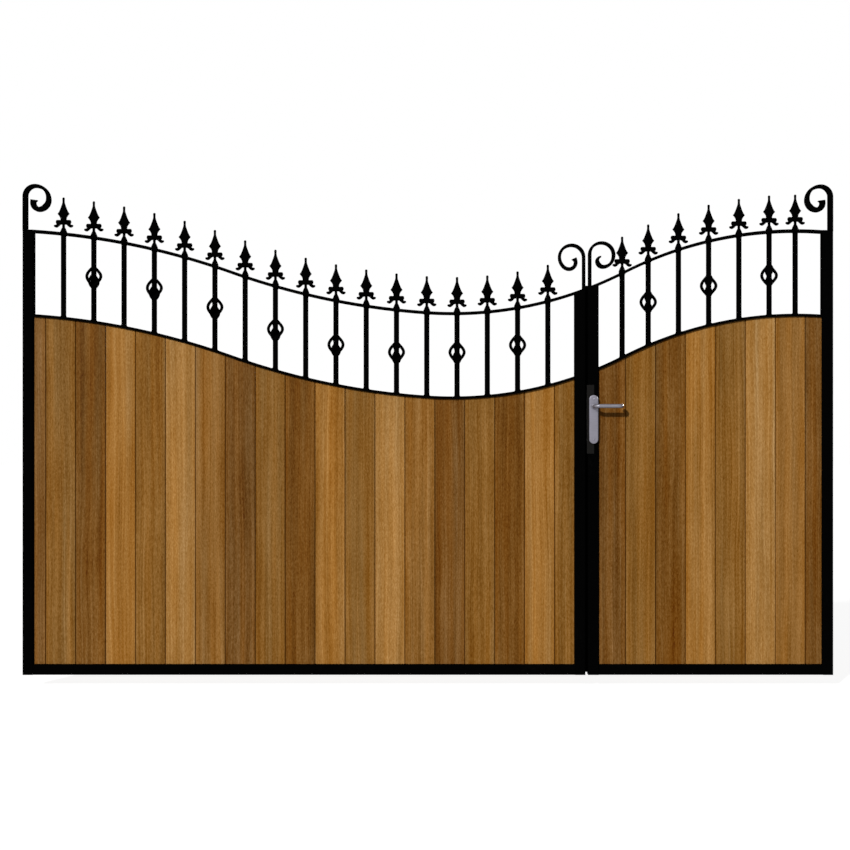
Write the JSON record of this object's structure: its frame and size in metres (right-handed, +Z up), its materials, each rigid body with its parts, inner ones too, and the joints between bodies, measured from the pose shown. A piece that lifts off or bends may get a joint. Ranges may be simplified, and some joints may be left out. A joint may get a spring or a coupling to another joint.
{
  "type": "split driveway gate",
  "caption": "Pair of unequal driveway gates in black steel frames with boarded hardwood panels, a swept top of bars, baskets and railheads, scrolled ends and a lever lock.",
  "frame": {"origin": "middle of the wall face of the lower left hinge plate", "axes": "+X along the gate to the right as seen from the road, +Y away from the road, +Z up"},
  "size_m": [3.072, 0.213, 1.846],
  "materials": {
    "black_coat": "satin",
    "grey_coat": "satin",
    "hardwood": "satin",
    "satin_steel": "satin",
    "zinc_steel": "satin"
  },
  "bodies": {
    "wall_brackets": {"left_lower_wall_plate": "black_coat", "left_upper_wall_plate": "black_coat", "left_hinge_lugs": "black_coat", "left_hinge_pins": "zinc_steel", "right_lower_wall_plate": "black_coat", "right_upper_wall_plate": "black_coat", "right_hinge_lugs": "black_coat", "right_hinge_pins": "zinc_steel"},
    "left_leaf": {"left_hinge_eyes": "black_coat", "left_hanging_stile": "black_coat", "left_meeting_stile": "black_coat", "left_bottom_rail": "black_coat", "left_top_rail": "black_coat", "left_panel_rail": "black_coat", "left_stile_caps": "black_coat", "left_timber_panel": "hardwood", "left_panel_beads": "black_coat", "left_bars": "black_coat", "left_baskets": "black_coat", "left_railheads": "black_coat", "left_scrolls": "black_coat", "lock_keep": "zinc_steel", "drop_bolt": "black_coat", "drop_bolt_guides": "black_coat"},
    "right_leaf": {"right_hinge_eyes": "black_coat", "right_hanging_stile": "black_coat", "right_meeting_stile": "black_coat", "right_bottom_rail": "black_coat", "right_top_rail": "black_coat", "right_panel_rail": "black_coat", "right_stile_caps": "black_coat", "right_timber_panel": "hardwood", "right_panel_beads": "black_coat", "right_bars": "black_coat", "right_baskets": "black_coat", "right_railheads": "black_coat", "right_scrolls": "black_coat", "lock_cover_plate": "grey_coat", "lock_forend": "zinc_steel", "front_handle_plate": "satin_steel", "back_handle_plate": "satin_steel", "meeting_strip": "black_coat"},
    "lever": {"front_lever": "satin_steel", "back_lever": "satin_steel", "lever_spindle": "zinc_steel"}
  },
  "joints": [
    {"name": "left_leaf_swing", "type": "hinge", "parent": "wall_brackets", "child": "left_leaf", "pos_m": [0.032, -0.025, 0], "axis": [0, 0, 1], "range_deg": [0, 100]},
    {"name": "right_leaf_swing", "type": "hinge", "parent": "wall_brackets", "child": "right_leaf", "pos_m": [3.04, -0.025, 0], "axis": [0, 0, -1], "range_deg": [0, 100]},
    {"name": "lever_turn", "type": "hinge", "parent": "right_leaf", "child": "lever", "pos_m": [2.1585, -0.091, 0.79], "axis": [0, 1, 0], "range_deg": [0, 40], "stiffness_Nm_per_rad": 1.2, "springref_deg": -20.05}
  ]
}
